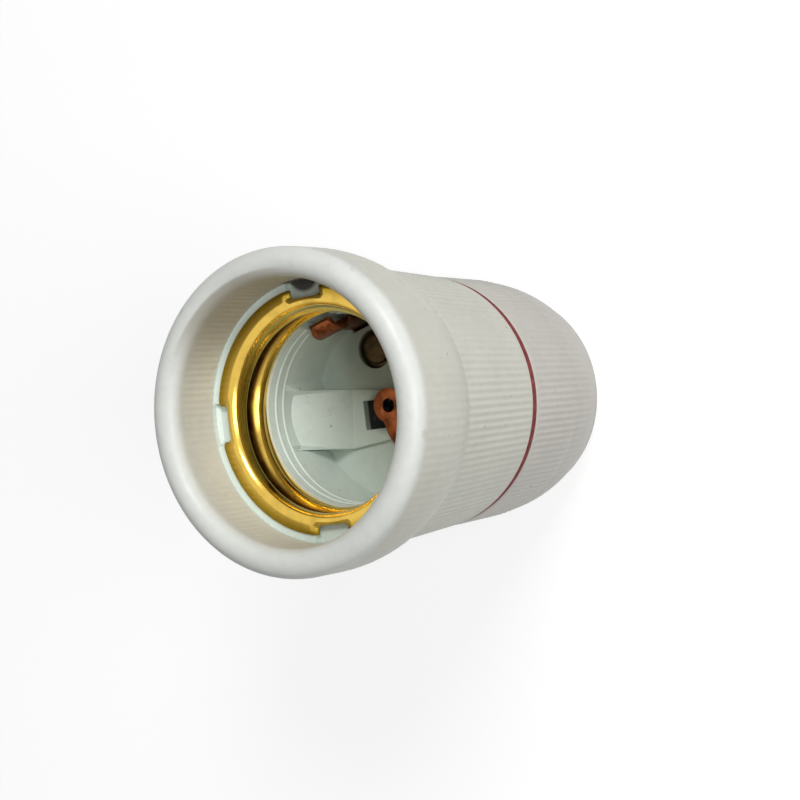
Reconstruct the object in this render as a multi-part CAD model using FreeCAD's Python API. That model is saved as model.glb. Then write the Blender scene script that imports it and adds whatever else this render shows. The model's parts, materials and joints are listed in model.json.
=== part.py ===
import FreeCAD, Part
import math
import os

# Porcelain screw-thread lamp holder, standing on its rear cap with the mouth up.
# Millimetres. Z is the holder's axis, z = 0 is the rear end face. Depths are
# measured down from the mouth, and azimuths turn anticlockwise seen from the mouth.

Vector = FreeCAD.Vector
origin = Vector(0, 0, 0)
up = Vector(0, 0, 1)

# --- overall and outer form of the two porcelain halves
holder_height = 56.5
skirt_wall = 3.6
flare_start_depth = 6.5
flare_end_depth = 14.5
flare_bulge_radius = 18.0
body_front_radius = 17.75
body_joint_radius = 17.05
joint_depth = 32.8
cap_front_radius = 16.95
cap_rear_radius = 16.7
shoulder_length = 11.0
shoulder_end_radius = 14.75
shoulder_sag = 0.45
end_round = 1.5
edge_chamfer = 0.35

# --- ribs
rib_count = 120
rib_height = 0.24
skirt_rib_height = 0.18

# --- lamp thread shell (E27 thread)
lamp_pitch = 3.629
lamp_crest_radius = 12.3
lamp_root_radius = 13.35
shell_sheet = 0.35
shell_lip_radius = 15.5
shell_lip_gap = 0.9
shell_lip_depth = 8.3
shell_end_depth = 14.5
shell_bend_radius = 0.8
shell_end_radius = 12.5
shell_crest_azimuth = 179.5
shell_columns = 36
shell_crest_depth = 12.6
lip_notch_count = 4
lip_notch_width = 4.6
lip_notch_reach = 1.35
lip_notch_corner = 0.6
shell_seat_gap = 0.2

# --- well of the front body
well_radius = 12.25
well_band_height = 0.16
well_band_width = 0.55
well_band_depths = (16.3, 17.9)
floor_depth = 26.0
floor_thickness = 4.2
chamber_radius = 11.0
ledge_pocket_width = 5.4
ledge_pocket_depth = 0.9
bridge_width = 8.2
bridge_height = 0.6
bridge_ramp_depth = 19.2
bridge_ramp_run = 5.6
bridge_end = 3.4
bridge_bite = 0.3
window_width = 1.6
window_length = 3.9
window_offset = 3.8

# --- porcelain thread between the halves
thread_pitch = 4.0
thread_crest_radius = 14.5
thread_depth = 1.2
thread_root_width = 1.2
thread_flank = 0.5
thread_clearance = 0.3
thread_flank_clearance = 0.25
thread_relief = 2.4
thread_relief_gap = 0.15
neck_end_depth = 41.3
cap_counterbore = 2.0
cap_thread_margin = 1.6
thread_run_out = 0.4

# --- gasket
gasket_thickness = 1.2
gasket_radius = 16.85
gasket_bore_gap = 0.4

# --- rear cap inside
cap_chamber_radius = 13.2
cap_chamber_end_radius = 11.4
cap_floor_thickness = 5.7
nut_recess_radius = 10.8
nut_recess_depth = 2.6

# --- cable entry
entry_bore_radius = 4.459
bush_radius = 6.5
bush_flange_flats = 17.0
bush_flange_thickness = 3.0
nut_thickness = 1.8
lock_washer_thickness = 0.5
lock_washer_radius = 9.4
lock_washer_teeth = 12
entry_hole_gap = 0.2
entry_thread_gap = 0.03

# --- contacts
contact_sheet = 0.4
contact_play = 0.2
rivet_azimuth = 285.0
rivet_offset = 8.0
rivet_radius = 1.1
rivet_head_radius = 2.0
rivet_head_height = 0.8
rivet_head_round = 0.4
rivet_close_height = 0.6
rivet_hole_gap = 0.1
rivet_shoulder_radius = 1.8
rivet_press = 0.02
washer_margin = 0.5
side_recess_depth = 1.7
side_recess_gap = 0.15
leaf_tip_depth = 24.3
leaf_tip_radius = 2.3
leaf_eye_radius = 0.9
leaf_arm_width = 3.0
leaf_foot_radius = 2.3
leaf_bend = 2.1
leaf_rise = 2.3
side_azimuth = rivet_azimuth - 180.0
side_width = 4.0
side_radius = 11.55
side_tip_depth = 15.2
side_tip_corner = 1.1
side_crown_half = 2.2
side_crown_height = 1.4
side_channel_width = 5.0
side_channel_depth = 0.95
side_slot_gap = 0.35
side_pad_radius = 2.9

# --- terminals
screw_azimuth = 330.0
screw_offset = 7.4
screw_radius = 1.7
screw_hole_gap = 0.05
screw_reach = 5.3
screw_head_radius = 3.0
screw_head_height = 2.0
screw_slot_width = 0.8
screw_slot_depth = 1.0
screw_slot_turn = 35.0
screw_pocket_radius = 2.1
screw_pocket_depth = 3.3
plate_thickness = 1.2
plate_width = 5.6
plate_end = 2.0
plate_corner = 1.2
clamp_size = 5.6
clamp_thickness = 0.8
clamp_corner = 0.8
clamp_gap = 0.05

# --- values worked out from the sizes above
skirt_radius = shell_lip_radius + shell_lip_gap
mouth_radius = skirt_radius + skirt_wall
rim_round = skirt_wall / 2
ledge_depth = shell_lip_depth + shell_sheet
seat_radius = lamp_root_radius + shell_sheet + shell_seat_gap
seat_depth = shell_end_depth + shell_seat_gap
floor_rear_depth = floor_depth + floor_thickness
bridge_depth = floor_depth - bridge_height
thread_root_radius = thread_crest_radius - thread_depth
relief_radius = thread_root_radius - thread_relief_gap
cap_rim_depth = joint_depth + gasket_thickness
washer_radius = rivet_head_radius + washer_margin
washer_thickness = contact_sheet + 2 * contact_play
side_crown_depth = side_tip_depth + side_crown_half
cap_minor_radius = thread_root_radius + thread_clearance
cap_major_radius = thread_crest_radius + thread_clearance
cap_counterbore_radius = cap_major_radius + thread_relief_gap
cap_thread_end_depth = neck_end_depth + cap_thread_margin
shoulder_depth = holder_height - shoulder_length
shoulder_end_depth = holder_height - end_round
cap_floor_depth = holder_height - cap_floor_thickness
nut_seat_depth = holder_height - nut_recess_depth
plate_depth = floor_rear_depth + contact_sheet + 2 * contact_play
clamp_depth = plate_depth + plate_thickness + clamp_gap
head_depth = clamp_depth + clamp_thickness + clamp_gap


def level(depth):
    return holder_height - depth


def at(radius, depth):
    return Vector(radius, 0, level(depth))


def polar(radius, azimuth, z=0.0):
    angle = math.radians(azimuth)
    return Vector(radius * math.cos(angle), radius * math.sin(angle), z)


def outline(start, *steps):
    """A closed wire. A step is a point, or a pair (point on the arc, end point)."""
    edges = []
    here = start
    for step in list(steps) + [start]:
        if isinstance(step, tuple):
            middle, end = step
            edges.append(Part.Arc(here, middle, end).toShape())
        else:
            end = step
            if (end - here).Length < 1e-6:
                continue
            edges.append(Part.LineSegment(here, end).toShape())
        here = end
    return Part.Wire(edges)


def turned(start, *steps):
    return Part.Face(outline(start, *steps)).revolve(origin, up, 360)


def drum(radius, top_depth, bottom_depth, place=origin):
    foot = Vector(place.x, place.y, level(bottom_depth))
    return Part.makeCylinder(radius, bottom_depth - top_depth, foot)


def block(x0, x1, y0, y1, top_depth, bottom_depth):
    corner = Vector(x0, y0, level(bottom_depth))
    return Part.makeBox(x1 - x0, y1 - y0, bottom_depth - top_depth, corner)


def spun(shape, azimuth):
    copy = shape.copy()
    copy.rotate(origin, up, azimuth)
    return copy


def quarter_arc(centre, radius, from_angle, to_angle):
    """Step for outline(): an arc about centre in the XZ plane, angles in degrees."""
    def point(degrees):
        angle = math.radians(degrees)
        return centre + Vector(radius * math.cos(angle), 0, radius * math.sin(angle))
    return point((from_angle + to_angle) / 2), point(to_angle)


def ribbed_prism(top_radius, bottom_radius, height, top_depth, bottom_depth):
    """Tapered prism whose section is a ring of shallow straight ribs."""
    def star(radius, depth):
        points = []
        for i in range(rib_count):
            step = 360.0 / rib_count
            points.append(polar(radius, i * step, level(depth)))
            points.append(polar(radius - height, (i + 0.5) * step, level(depth)))
        return Part.makePolygon(points + [points[0]])
    wires = [star(bottom_radius, bottom_depth), star(top_radius, top_depth)]
    return Part.makeLoft(wires, True, True)


def helical_cutter(root_radius, outer_radius, root_half, start_depth, end_depth):
    """Trapezoid groove that widens outwards, swept up a right-handed helix."""
    outer_half = root_half + (outer_radius - root_radius) * thread_flank
    z = level(start_depth)
    wire = Part.makePolygon([
        Vector(root_radius, 0, z - root_half),
        Vector(outer_radius, 0, z - outer_half),
        Vector(outer_radius, 0, z + outer_half),
        Vector(root_radius, 0, z + root_half),
        Vector(root_radius, 0, z - root_half),
    ])
    helix = Part.makeHelix(thread_pitch, start_depth - end_depth, root_radius)
    helix.translate(Vector(0, 0, z))
    return Part.Wire(helix.Edges).makePipeShell([wire], True, True)


# ---------------------------------------------------------------- front body

def flare_arc():
    """Arc steps of the flare: it bulges from the skirt in to the ribbed body."""
    centre = at(mouth_radius - flare_bulge_radius, flare_start_depth)
    end_angle = -math.degrees(math.asin((flare_end_depth - flare_start_depth) / flare_bulge_radius))
    return quarter_arc(centre, flare_bulge_radius, 0, end_angle)


def front_blank():
    """Turned section of the front body, without ribs, pockets and thread."""
    rim_centre = at(mouth_radius - rim_round, rim_round)
    arc = flare_arc()
    corner_depth = flare_end_depth + arc[1].x - body_front_radius
    core_radius = body_joint_radius - 2 * rib_height
    steps = [
        quarter_arc(rim_centre, rim_round, 180, 0),
        at(mouth_radius, flare_start_depth),
        arc,
        at(body_front_radius - rib_height, corner_depth),
        at(core_radius, corner_depth),
        at(core_radius, joint_depth),
        at(relief_radius, joint_depth),
        at(relief_radius, joint_depth + thread_relief),
        at(thread_crest_radius, joint_depth + thread_relief + edge_chamfer),
        at(thread_crest_radius, neck_end_depth - edge_chamfer),
        at(thread_crest_radius - edge_chamfer, neck_end_depth),
        at(chamber_radius, neck_end_depth),
        at(chamber_radius, floor_rear_depth),
        at(0, floor_rear_depth),
        at(0, floor_depth),
        at(well_radius, floor_depth),
    ]
    for depth in reversed(well_band_depths):
        half = well_band_width / 2
        steps.append(at(well_radius, depth + half))
        steps.append((at(well_radius - well_band_height, depth), at(well_radius, depth - half)))
    steps += [
        at(well_radius, seat_depth),
        at(seat_radius, seat_depth),
        at(seat_radius, ledge_depth),
        at(skirt_radius + skirt_rib_height, ledge_depth),
        at(skirt_radius + skirt_rib_height, rim_round),
    ]
    return turned(at(skirt_radius, rim_round), *steps)


def rim_chamfer(radius, rim_depth, away):
    """Cutter for the plain chamfer where ribs end at the joint; away is +1 or -1 down the axis."""
    section = outline(
        at(radius - edge_chamfer, rim_depth),
        at(radius + 1, rim_depth + away * (1 + edge_chamfer)),
        at(radius + 1, rim_depth - away * edge_chamfer),
        at(radius - edge_chamfer, rim_depth - away * edge_chamfer),
    )
    ring = Part.Face(section).revolve(origin, up, 360)
    return ring if ring.Volume > 0 else ring.reversed()


def body_ribs():
    """Ribbed band from the flare to the joint, as a tube around the turned core."""
    top = flare_end_depth + 0.2
    tube = ribbed_prism(body_front_radius, body_joint_radius, rib_height, top, joint_depth)
    tube = tube.cut(drum(body_joint_radius - 3 * rib_height, top - 1, joint_depth + 1))
    return tube.cut(rim_chamfer(body_joint_radius, joint_depth, -1))


def skirt_ribs():
    """Ribbed lining of the skirt: a thin tube whose bore carries the ribs."""
    outer = skirt_radius + 2 * skirt_rib_height
    tube = drum(outer, rim_round, ledge_depth)
    bore_radius = skirt_radius + skirt_rib_height
    bore = ribbed_prism(bore_radius, bore_radius, skirt_rib_height, rim_round, ledge_depth)
    return tube.cut(bore)


def bridge():
    """Raised bar across the floor that ramps up the wall of the well."""
    half = bridge_width / 2
    wall = well_radius + bridge_bite
    foot = floor_depth + bridge_bite
    profile = Part.makePolygon([
        Vector(-wall, -half, level(foot)),
        Vector(-wall, -half, level(bridge_ramp_depth)),
        Vector(bridge_ramp_run - well_radius, -half, level(bridge_depth)),
        Vector(bridge_end, -half, level(bridge_depth)),
        Vector(bridge_end, -half, level(foot)),
        Vector(-wall, -half, level(foot)),
    ])
    bar = Part.Face(profile).extrude(Vector(0, bridge_width, 0))
    return bar.common(drum(wall, bridge_ramp_depth - 1, floor_depth + 1))


def ledge_pocket():
    half = ledge_pocket_width / 2
    pocket = block(seat_radius - 1, skirt_radius - 0.05, -half, half,
                   ledge_depth - 0.5, ledge_depth + ledge_pocket_depth)
    return pocket


def side_passages():
    """Channel behind the side contact, its slot in the floor and the room for its bend."""
    half = side_channel_width / 2
    channel_radius = side_radius + contact_sheet + side_channel_depth
    channel = block(side_radius - 0.4, channel_radius, -half, half, seat_depth - 0.5, floor_depth)
    slot_half = side_width / 2 + side_slot_gap
    slot_in = side_radius - side_slot_gap
    slot_out = side_radius + contact_sheet + side_slot_gap
    bend_depth = plate_depth + plate_thickness / 2
    slot = block(slot_in, slot_out, -slot_half, slot_half, floor_depth - 1, bend_depth)
    room = block(chamber_radius - 1, slot_out, -slot_half, slot_half, floor_rear_depth, bend_depth)
    return [spun(piece, side_azimuth) for piece in (channel, slot, room)]


def floor_holes():
    """Rivet holes, the side rivet's recess, blind pockets for the screw tips and the window."""
    holes = []
    for turn in (0, 180):
        rivet = polar(rivet_offset, rivet_azimuth + turn)
        screw = polar(screw_offset, screw_azimuth + turn)
        holes.append(drum(rivet_radius + rivet_hole_gap, floor_depth - 1, floor_rear_depth + 1, rivet))
        pocket_top = floor_rear_depth - screw_pocket_depth
        holes.append(drum(screw_pocket_radius, pocket_top, floor_rear_depth + 1, screw))
    recess = polar(rivet_offset, rivet_azimuth + 180)
    recess_bottom = floor_depth + side_recess_depth
    holes.append(drum(washer_radius + side_recess_gap, floor_depth - 1, recess_bottom, recess))
    half = window_width / 2
    holes.append(block(-window_offset - half, -window_offset + half,
                       -window_length / 2, window_length / 2, bridge_depth - 1, floor_rear_depth + 1))
    return holes


def neck_thread_cutter():
    """Groove of the male thread, trimmed flush with its crests."""
    start_depth = cap_thread_end_depth + thread_pitch / 2 + thread_run_out
    end_depth = joint_depth + thread_relief - 0.6
    groove = helical_cutter(thread_root_radius, thread_crest_radius + 0.5, thread_root_width / 2,
                            start_depth, end_depth)
    sleeve = drum(thread_crest_radius + 2, joint_depth - 2, start_depth + 2)
    return groove.cut(sleeve.cut(drum(thread_crest_radius, joint_depth - 3, start_depth + 3)))


def front_body():
    body = front_blank().cut(neck_thread_cutter())
    body = body.fuse([body_ribs(), skirt_ribs(), bridge()])
    cuts = [spun(ledge_pocket(), 360.0 * i / lip_notch_count) for i in range(lip_notch_count)]
    cuts += side_passages()
    cuts += floor_holes()
    return body.cut(cuts).removeSplitter()


# ---------------------------------------------------------------- screw shell

def shell_line():
    """Inner line of the rolled shell from the lip's edge down: (radius, depth, wave share)."""
    mean = (lamp_crest_radius + lamp_root_radius) / 2
    bend = shell_bend_radius
    points = [(shell_lip_radius, shell_lip_depth, 0.0)]
    lip_inner = mean + bend
    for i in range(1, 5):
        points.append((shell_lip_radius + (lip_inner - shell_lip_radius) * i / 4, shell_lip_depth, 0.0))
    for i in range(1, 7):
        angle = math.radians(15 * i)
        points.append((lip_inner - bend * math.sin(angle),
                       shell_lip_depth + bend * (1 - math.cos(angle)), 0.15 * (i / 6) ** 2))
    top = shell_lip_depth + bend
    run = shell_end_depth - top
    rows = 22
    for i in range(1, rows + 1):
        share = i / rows
        fade_in = min(1.0, 0.15 + 3.5 * share)
        fade_out = min(1.0, (1 - share) * 7.0)
        lean = (shell_end_radius - mean) * max(0.0, 1 - (1 - share) * 7.0)
        points.append((mean + lean, top + run * share, fade_in * fade_out))
    return points


def shell_point(line, row, azimuth, outward):
    """A point of the rolled sheet; outward is 0 on its inner face and 1 on its outer face."""
    radius, depth, share = line[row]
    before = line[max(0, row - 1)]
    after = line[min(len(line) - 1, row + 1)]
    dr = after[0] - before[0]
    dz = after[1] - before[1]
    length = math.hypot(dr, dz)
    amplitude = (lamp_root_radius - lamp_crest_radius) / 2
    turns = (depth - shell_crest_depth) / lamp_pitch + (azimuth - shell_crest_azimuth) / 360.0
    radius -= amplitude * share * math.cos(2 * math.pi * turns)
    radius += outward * shell_sheet * dz / length
    depth -= outward * shell_sheet * dr / length
    return polar(radius, azimuth, level(depth))


def shell_face(line, outward):
    """Closed skin of the sheet: a cubic surface, periodic round the axis."""
    poles = [[shell_point(line, row, 360.0 * i / shell_columns, outward) for row in range(len(line))]
             for i in range(shell_columns)]
    round_knots = list(range(shell_columns + 1))
    down_knots = list(range(len(line) - 2))
    down_mults = [4] + [1] * (len(down_knots) - 2) + [4]
    surface = Part.BSplineSurface()
    surface.buildFromPolesMultsKnots(poles, [1] * len(round_knots), down_mults, round_knots, down_knots,
                                     True, False, 3, 3)
    return surface.toShape()


def end_edge(face, z):
    """The closed edge of a skin that lies nearest to height z."""
    rings = [edge for edge in face.Edges if edge.isClosed()]
    return min(rings, key=lambda edge: abs(edge.BoundBox.Center.z - z))


def screw_shell():
    line = shell_line()
    inner = shell_face(line, 0)
    outer = shell_face(line, 1)
    faces = [inner, outer]
    for depth in (shell_lip_depth, shell_end_depth):
        z = level(depth)
        faces.append(Part.makeRuledSurface(end_edge(inner, z), end_edge(outer, z)))
    shell = Part.makeShell(faces)
    shell.sewShape()
    sheet = Part.makeSolid(shell)
    notch = lip_notch_width / 2
    cuts = []
    for i in range(lip_notch_count):
        cutter = block(shell_lip_radius - lip_notch_reach, shell_lip_radius + 1, -notch, notch,
                       shell_lip_depth - 1, ledge_depth + 1)
        uprights = [e for e in cutter.Edges if e.BoundBox.ZLength > 1]
        corners = [e for e in uprights if e.BoundBox.Center.x < shell_lip_radius]
        cuts.append(spun(cutter.makeFillet(lip_notch_corner, corners), 360.0 * i / lip_notch_count))
    return sheet.cut(cuts)


# ---------------------------------------------------------------- gasket and rear cap

def gasket_ring():
    bore = thread_crest_radius + gasket_bore_gap
    ring = drum(gasket_radius, joint_depth, cap_rim_depth)
    return ring.cut(drum(bore, joint_depth - 1, cap_rim_depth + 1))


def shoulder_middle():
    """Point that gives the shoulder its slight bulge."""
    radius = (cap_rear_radius - rib_height + shoulder_end_radius) / 2 + shoulder_sag
    depth = (shoulder_depth + shoulder_end_depth) / 2
    return at(radius, depth)


def cap_blank():
    core_radius = cap_rear_radius - 2 * rib_height
    end_radius = shoulder_end_radius - 0.3
    steps = [
        at(core_radius, cap_rim_depth),
        at(core_radius, shoulder_depth),
        at(cap_rear_radius - rib_height, shoulder_depth),
        (shoulder_middle(), at(shoulder_end_radius, shoulder_end_depth)),
        (at(end_radius - 0.15, shoulder_end_depth + 0.75 * end_round),
         at(end_radius - end_round, holder_height)),
        at(nut_recess_radius, holder_height),
        at(nut_recess_radius, nut_seat_depth),
        at(bush_radius + entry_hole_gap, nut_seat_depth),
        at(bush_radius + entry_hole_gap, cap_floor_depth),
        at(cap_chamber_end_radius, cap_floor_depth),
        at(cap_chamber_radius, cap_thread_end_depth + 2),
        at(cap_chamber_radius, cap_thread_end_depth),
        at(cap_minor_radius, cap_thread_end_depth),
        at(cap_minor_radius, cap_rim_depth + cap_counterbore + thread_depth),
        at(cap_counterbore_radius, cap_rim_depth + cap_counterbore),
    ]
    return turned(at(cap_counterbore_radius, cap_rim_depth), *steps)


def cap_ribs():
    """Ribbed band of the cap with a small plain chamfer at its rim."""
    tube = ribbed_prism(cap_front_radius, cap_rear_radius, rib_height, cap_rim_depth, shoulder_depth)
    tube = tube.cut(drum(cap_rear_radius - 3 * rib_height, cap_rim_depth - 1, shoulder_depth + 1))
    return tube.cut(rim_chamfer(cap_front_radius, cap_rim_depth, 1))


def rear_cap():
    ridge_half = (thread_pitch - thread_root_width) / 2 - thread_depth * thread_flank
    groove_half = ridge_half + thread_flank_clearance - thread_clearance * thread_flank
    cap = cap_blank().cut(cap_thread_cutter(groove_half))
    return cap.fuse(cap_ribs()).removeSplitter()


def cap_thread_cutter(root_half):
    """Groove in the cap's bore that narrows outwards and takes the neck's ridge."""
    inner_radius = cap_minor_radius - 0.5
    inner_half = root_half + (cap_major_radius - inner_radius) * thread_flank
    start_depth = cap_thread_end_depth + thread_run_out
    z = level(start_depth)
    wire = Part.makePolygon([
        Vector(inner_radius, 0, z - inner_half),
        Vector(cap_major_radius, 0, z - root_half),
        Vector(cap_major_radius, 0, z + root_half),
        Vector(inner_radius, 0, z + inner_half),
        Vector(inner_radius, 0, z - inner_half),
    ])
    helix = Part.makeHelix(thread_pitch, start_depth - cap_rim_depth + 1.5, cap_major_radius)
    helix.translate(Vector(0, 0, z))
    return Part.Wire(helix.Edges).makePipeShell([wire], True, True)


# ---------------------------------------------------------------- cable entry

def hexagon(flats, top_depth, bottom_depth):
    corner = flats / 2 / math.cos(math.pi / 6)
    points = [polar(corner, 60 * i, level(bottom_depth)) for i in range(6)]
    face = Part.Face(Part.makePolygon(points + [points[0]]))
    return face.extrude(Vector(0, 0, bottom_depth - top_depth))


def entry_bush():
    top = cap_floor_depth - bush_flange_thickness
    bottom = nut_seat_depth + lock_washer_thickness + nut_thickness
    bush = hexagon(bush_flange_flats, top, cap_floor_depth)
    bush = bush.fuse(drum(bush_radius, cap_floor_depth - 0.5, bottom))
    return bush.cut(drum(entry_bore_radius, top - 1, bottom + 1)).removeSplitter()


def entry_locknut():
    top = nut_seat_depth + lock_washer_thickness
    bottom = top + nut_thickness
    nut = hexagon(bush_flange_flats, top, bottom)
    return nut.cut(drum(bush_radius + entry_thread_gap, top - 1, bottom + 1))


def lock_washer():
    """Toothed washer: a ring whose edge is cut into teeth."""
    bottom = nut_seat_depth + lock_washer_thickness
    points = []
    step = 360.0 / lock_washer_teeth
    for i in range(lock_washer_teeth):
        for share, radius in ((0.0, 0.88), (0.15, 1.0), (0.6, 1.0), (0.75, 0.88)):
            points.append(polar(lock_washer_radius * radius, (i + share) * step, level(bottom)))
    face = Part.Face(Part.makePolygon(points + [points[0]]))
    ring = face.extrude(Vector(0, 0, lock_washer_thickness))
    return ring.cut(drum(bush_radius + entry_hole_gap, nut_seat_depth - 1, bottom + 1))


# ---------------------------------------------------------------- contacts

def centre_contact():
    """Leaf from its rivet to the axis: flat foot, rising arm and a round tip with an eye."""
    foot_top = floor_depth - contact_play - contact_sheet
    half = leaf_arm_width / 2
    line = [(-leaf_foot_radius, foot_top), (leaf_bend, foot_top),
            (leaf_bend + leaf_rise, leaf_tip_depth), (rivet_offset + leaf_tip_radius, leaf_tip_depth)]
    reach = leaf_foot_radius + leaf_tip_radius
    top = [Vector(x, -reach, level(d)) for x, d in line]
    bottom = [Vector(x, -reach, level(d + contact_sheet)) for x, d in reversed(line)]
    sheet = Part.Face(Part.makePolygon(top + bottom + [top[0]]))
    sheet = sheet.extrude(Vector(0, 2 * reach, 0))
    low = floor_depth + 1
    plan = drum(leaf_tip_radius, leaf_tip_depth - 1, low, Vector(rivet_offset, 0, 0))
    plan = plan.fuse([block(0, rivet_offset, -half, half, leaf_tip_depth - 1, low),
                      drum(leaf_foot_radius, leaf_tip_depth - 1, low)])
    leaf = sheet.common(plan)
    leaf = leaf.cut([drum(leaf_eye_radius, leaf_tip_depth - 1, low, Vector(rivet_offset, 0, 0)),
                     drum(rivet_radius + 2 * contact_play, leaf_tip_depth - 1, low)])
    leaf.rotate(origin, up, rivet_azimuth + 180)
    leaf.translate(polar(rivet_offset, rivet_azimuth))
    return leaf.removeSplitter()


def side_contact():
    """Strip up the wall of the well with a bowed end, bent under the floor to its foot."""
    foot_depth = floor_rear_depth + contact_play
    half = side_width / 2
    inner = side_radius
    outer = side_radius + contact_sheet
    peak = inner - side_crown_height
    back = (side_crown_half ** 2 - side_crown_height ** 2) / (2 * side_crown_height)
    back_arc = back + side_crown_height - contact_sheet
    back_half = math.sqrt(back_arc ** 2 - (back - contact_sheet) ** 2)
    strip = outline(
        at(inner, side_tip_depth),
        (at(peak, side_crown_depth), at(inner, side_crown_depth + side_crown_half)),
        at(inner, foot_depth),
        at(rivet_offset, foot_depth),
        at(rivet_offset, foot_depth + contact_sheet),
        at(outer, foot_depth + contact_sheet),
        at(outer, side_crown_depth + back_half),
        (at(peak + contact_sheet, side_crown_depth), at(outer, side_crown_depth - back_half)),
    )
    solid = Part.Face(strip).extrude(Vector(0, side_width, 0))
    solid.translate(Vector(0, -half, 0))
    plan = block(0, outer + 1, -half, half, side_tip_depth, foot_depth + 1)
    corners = [e for e in plan.Edges if e.BoundBox.XLength > 1 and e.BoundBox.ZMin > level(side_crown_depth)]
    solid = solid.common(plan.makeFillet(side_tip_corner, corners))
    rivet = polar(rivet_offset, side_azimuth)
    pad = drum(side_pad_radius, foot_depth, foot_depth + contact_sheet, rivet)
    hole = drum(rivet_shoulder_radius + contact_play, foot_depth - 1, foot_depth + 1, rivet)
    return spun(solid, side_azimuth).fuse(pad).cut(hole).removeSplitter()


def contact_rivet(turn, seat):
    """Shouldered rivet: front head on its seat, shank through the floor, shoulder and closing head."""
    place = polar(rivet_offset, rivet_azimuth + turn)
    close = plate_depth + plate_thickness
    overlap = rivet_head_round / 2
    rivet = drum(rivet_radius, seat - overlap, close + overlap, place)
    head = drum(rivet_head_radius, seat - rivet_head_height, seat, place)
    top = level(seat - rivet_head_height)
    rim = [e for e in head.Edges if e.Closed and abs(e.BoundBox.ZMin - top) < 1e-6]
    head = head.makeFillet(rivet_head_round, rim)
    shoulder = drum(rivet_shoulder_radius, floor_rear_depth, plate_depth, place)
    closing = drum(rivet_shoulder_radius, close, close + rivet_close_height, place)
    return rivet.fuse([head, shoulder, closing]).removeSplitter()


def rivet_washer():
    """Washer under the head of the side contact's rivet, sunk in the front of the floor."""
    place = polar(rivet_offset, rivet_azimuth + 180)
    bottom = floor_depth + side_recess_depth
    top = bottom - washer_thickness
    washer = drum(washer_radius, top, bottom, place)
    return washer.cut(drum(rivet_radius + rivet_hole_gap, top - 1, bottom + 1, place))


# ---------------------------------------------------------------- terminals

def terminal_plate(turn):
    """Plate between a contact's rivet and its terminal screw, with rounded corners."""
    rivet = polar(rivet_offset, rivet_azimuth)
    screw = polar(screw_offset, screw_azimuth)
    run = screw - rivet
    half = plate_width / 2
    bottom = plate_depth + plate_thickness
    plate = block(-plate_end, run.Length + plate_end, -half, half, plate_depth, bottom)
    corners = [e for e in plate.Edges if abs(e.BoundBox.ZLength - plate_thickness) < 1e-6]
    plate = plate.makeFillet(plate_corner, corners)
    plate = plate.cut([
        drum(rivet_radius + rivet_press, plate_depth - 1, bottom + 1),
        drum(screw_radius + screw_hole_gap, plate_depth - 1, bottom + 1, Vector(run.Length, 0, 0)),
    ])
    plate.rotate(origin, up, math.degrees(math.atan2(run.y, run.x)))
    plate.translate(rivet)
    return spun(plate, turn)


def clamp_plate(turn):
    """Square saddle washer that presses the wire on the terminal plate."""
    place = polar(screw_offset, screw_azimuth)
    half = clamp_size / 2
    clamp = block(-half, half, -half, half, clamp_depth, clamp_depth + clamp_thickness)
    corners = [e for e in clamp.Edges if abs(e.BoundBox.ZLength - clamp_thickness) < 1e-6]
    clamp = clamp.makeFillet(clamp_corner, corners)
    clamp = clamp.cut(drum(screw_radius + 2 * screw_hole_gap, clamp_depth - 1, clamp_depth + 2))
    clamp.rotate(origin, up, screw_azimuth)
    clamp.translate(place)
    return spun(clamp, turn)


def terminal_screw(turn):
    """Slotted cheese-head screw that points up into the blind pocket in the floor."""
    place = polar(screw_offset, screw_azimuth)
    bottom = head_depth + screw_head_height
    screw = drum(screw_radius, head_depth - screw_reach, head_depth + 0.5)
    screw = screw.fuse(drum(screw_head_radius, head_depth, bottom))
    half = screw_slot_width / 2
    wide = screw_head_radius + 1
    screw = screw.cut(block(-wide, wide, -half, half, bottom - screw_slot_depth, bottom + 1))
    screw.rotate(origin, up, screw_azimuth + screw_slot_turn)
    screw.translate(place)
    return spun(screw, turn).removeSplitter()


def pieces():
    return {
        "front_body": front_body(),
        "screw_shell": screw_shell(),
        "gasket_ring": gasket_ring(),
        "rear_cap": rear_cap(),
        "entry_bush": entry_bush(),
        "lock_washer": lock_washer(),
        "entry_locknut": entry_locknut(),
        "centre_contact": centre_contact(),
        "centre_rivet": contact_rivet(0, floor_depth - washer_thickness),
        "side_contact": side_contact(),
        "side_rivet": contact_rivet(180, floor_depth + side_recess_depth - washer_thickness),
        "side_rivet_washer": rivet_washer(),
        "centre_terminal_plate": terminal_plate(0),
        "side_terminal_plate": terminal_plate(180),
        "centre_clamp_plate": clamp_plate(0),
        "side_clamp_plate": clamp_plate(180),
        "centre_terminal_screw": terminal_screw(0),
        "side_terminal_screw": terminal_screw(180),
    }


os.makedirs("parts", exist_ok=True)
for name, shape in pieces().items():
    print(name, shape.isValid(), len(shape.Solids), round(shape.Volume, 2), len(shape.Faces))
    shape.exportStep("parts/" + name + ".step")
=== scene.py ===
import json
import math

import bmesh
import bpy
from mathutils import Matrix, Vector


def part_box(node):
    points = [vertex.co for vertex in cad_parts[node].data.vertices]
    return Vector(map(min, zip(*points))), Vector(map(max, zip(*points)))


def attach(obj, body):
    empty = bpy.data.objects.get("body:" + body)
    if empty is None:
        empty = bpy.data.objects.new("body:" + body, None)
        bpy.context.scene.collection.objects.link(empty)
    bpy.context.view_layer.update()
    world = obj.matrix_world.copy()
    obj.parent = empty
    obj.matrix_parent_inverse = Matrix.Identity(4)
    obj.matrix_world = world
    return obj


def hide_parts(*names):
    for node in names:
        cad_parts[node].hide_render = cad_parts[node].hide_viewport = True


# Porcelain lamp holder, standing on its rear cap. Metres; z runs up the holder's axis.

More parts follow.
